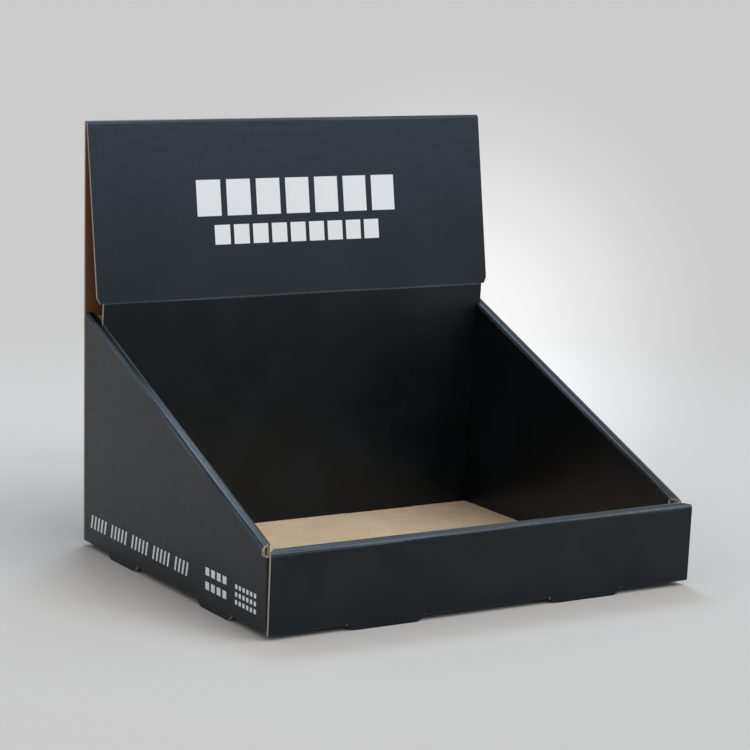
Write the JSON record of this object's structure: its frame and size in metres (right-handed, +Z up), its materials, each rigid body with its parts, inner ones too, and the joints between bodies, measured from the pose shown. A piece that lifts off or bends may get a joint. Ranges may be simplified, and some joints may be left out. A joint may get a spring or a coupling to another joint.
{
  "type": "counter display box",
  "caption": "Open counter display tray of folded corrugated board with low front, sloping double-wall sides and a folded header panel at the back.",
  "frame": {"origin": "middle of the bounding box in plan, on the surface that the feet stand on", "axes": "+X to the right seen from the front, +Y to the back, +Z up; the low front wall faces -Y"},
  "size_m": [0.3, 0.264, 0.28],
  "materials": {
    "printed_board": "satin coated dark print outside, bare kraft inside"
  },
  "bodies": {
    "root": {"display_box": "printed_board"}
  },
  "joints": []
}
